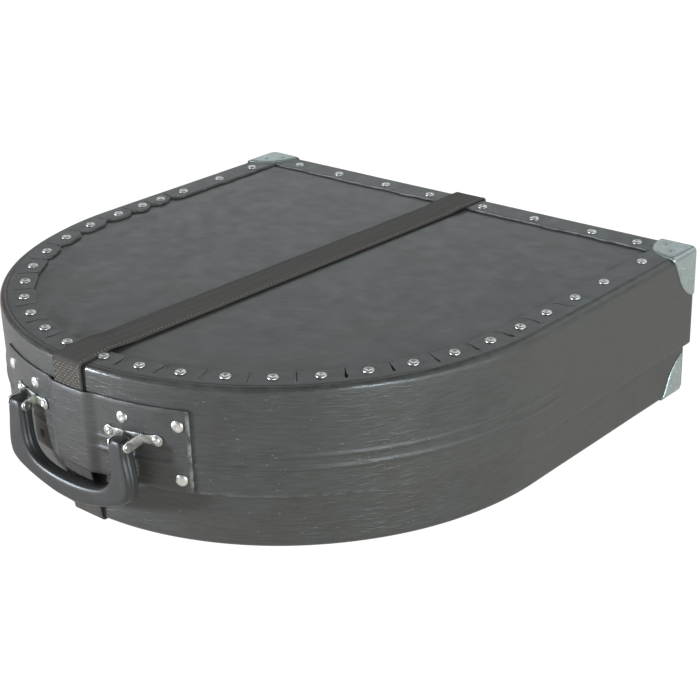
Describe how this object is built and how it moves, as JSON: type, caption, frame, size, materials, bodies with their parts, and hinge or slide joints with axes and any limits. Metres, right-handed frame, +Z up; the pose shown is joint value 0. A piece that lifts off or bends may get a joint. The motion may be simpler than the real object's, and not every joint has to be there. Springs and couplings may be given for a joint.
{
  "type": "cymbal case",
  "caption": "D-shaped hard case for cymbals: a deep fibre lid telescopes over a base of the same outline, held shut by a web strap with a roller buckle, with a hinged handle at the front.",
  "frame": {"origin": "on the floor under the middle of the whole case, its handle and buckle included; the rivet heads under the base touch z = 0", "axes": "+Z up with the case lying flat, -Y towards the rounded front where the handle hangs, +Y towards the straight back, +X to the right seen from the front"},
  "size_m": [0.6048, 0.6204, 0.1638],
  "materials": {
    "fibre": "satin black vulcanised fibre sheet with a fine pressed grain, worn grey on its edges",
    "rivet_steel": "nickel-plated domed rivets",
    "corner_steel": "dull zinc-plated pressed sheet steel, pale grey-green",
    "foam": "open-cell foam sheet, matte",
    "webbing": "flat woven cotton webbing, matte black",
    "leatherette": "black leatherboard strip, smooth",
    "buckle_steel": "nickel-plated steel",
    "bracket_steel": "nickel-plated pressed steel, lightly tarnished",
    "handle_plastic": "black moulded plastic with a soft sheen"
  },
  "bodies": {
    "base": {"base_wall": "fibre", "base_panel": "fibre", "base_rivets": "rivet_steel", "base_corner_left": "corner_steel", "base_corner_right": "corner_steel", "base_corner_rivets": "corner_steel", "base_splice": "fibre", "base_splice_rivets": "rivet_steel", "base_pad": "foam", "strap_lower": "webbing", "fold_rivets": "buckle_steel", "strap_keeper": "leatherette"},
    "lid": {"lid_wall": "fibre", "lid_panel": "fibre", "lid_rivets": "rivet_steel", "lid_corner_left": "corner_steel", "lid_corner_right": "corner_steel", "lid_corner_rivets": "corner_steel", "lid_splice": "fibre", "lid_splice_rivets": "rivet_steel", "lid_pad": "foam", "handle_plate": "fibre", "plate_rivets": "rivet_steel", "bracket_left": "bracket_steel", "bracket_right": "bracket_steel", "bracket_rivets": "bracket_steel", "handle_pin_left": "bracket_steel", "handle_pin_right": "bracket_steel", "strap_upper": "webbing"},
    "handle": {"handle_grip": "handle_plastic"},
    "buckle": {"buckle_frame": "buckle_steel"},
    "roller": {"buckle_roller": "buckle_steel"},
    "tongue": {"buckle_tongue": "buckle_steel"}
  },
  "joints": [
    {"name": "lid_lift", "type": "slide", "parent": "base", "child": "lid", "axis": [0, 0, 1], "range_m": [0, 0.13], "deforming": ["strap_upper"]},
    {"name": "handle_swing", "type": "hinge", "parent": "lid", "child": "handle", "pos_m": [0, -0.29331, 0.1034], "axis": [-1, 0, 0], "range_deg": [0, 165]},
    {"name": "buckle_swing", "type": "hinge", "parent": "base", "child": "buckle", "pos_m": [0.0095, 0.30229, 0.104], "axis": [-1, 0, 0], "range_deg": [0, 60]},
    {"name": "tongue_swing", "type": "hinge", "parent": "buckle", "child": "tongue", "pos_m": [0.0095, 0.30229, 0.104], "axis": [-1, 0, 0], "range_deg": [0, 60]},
    {"name": "roller_spin", "type": "hinge", "parent": "buckle", "child": "roller", "pos_m": [0.0095, 0.30229, 0.134], "axis": [1, 0, 0], "continuous": true}
  ]
}
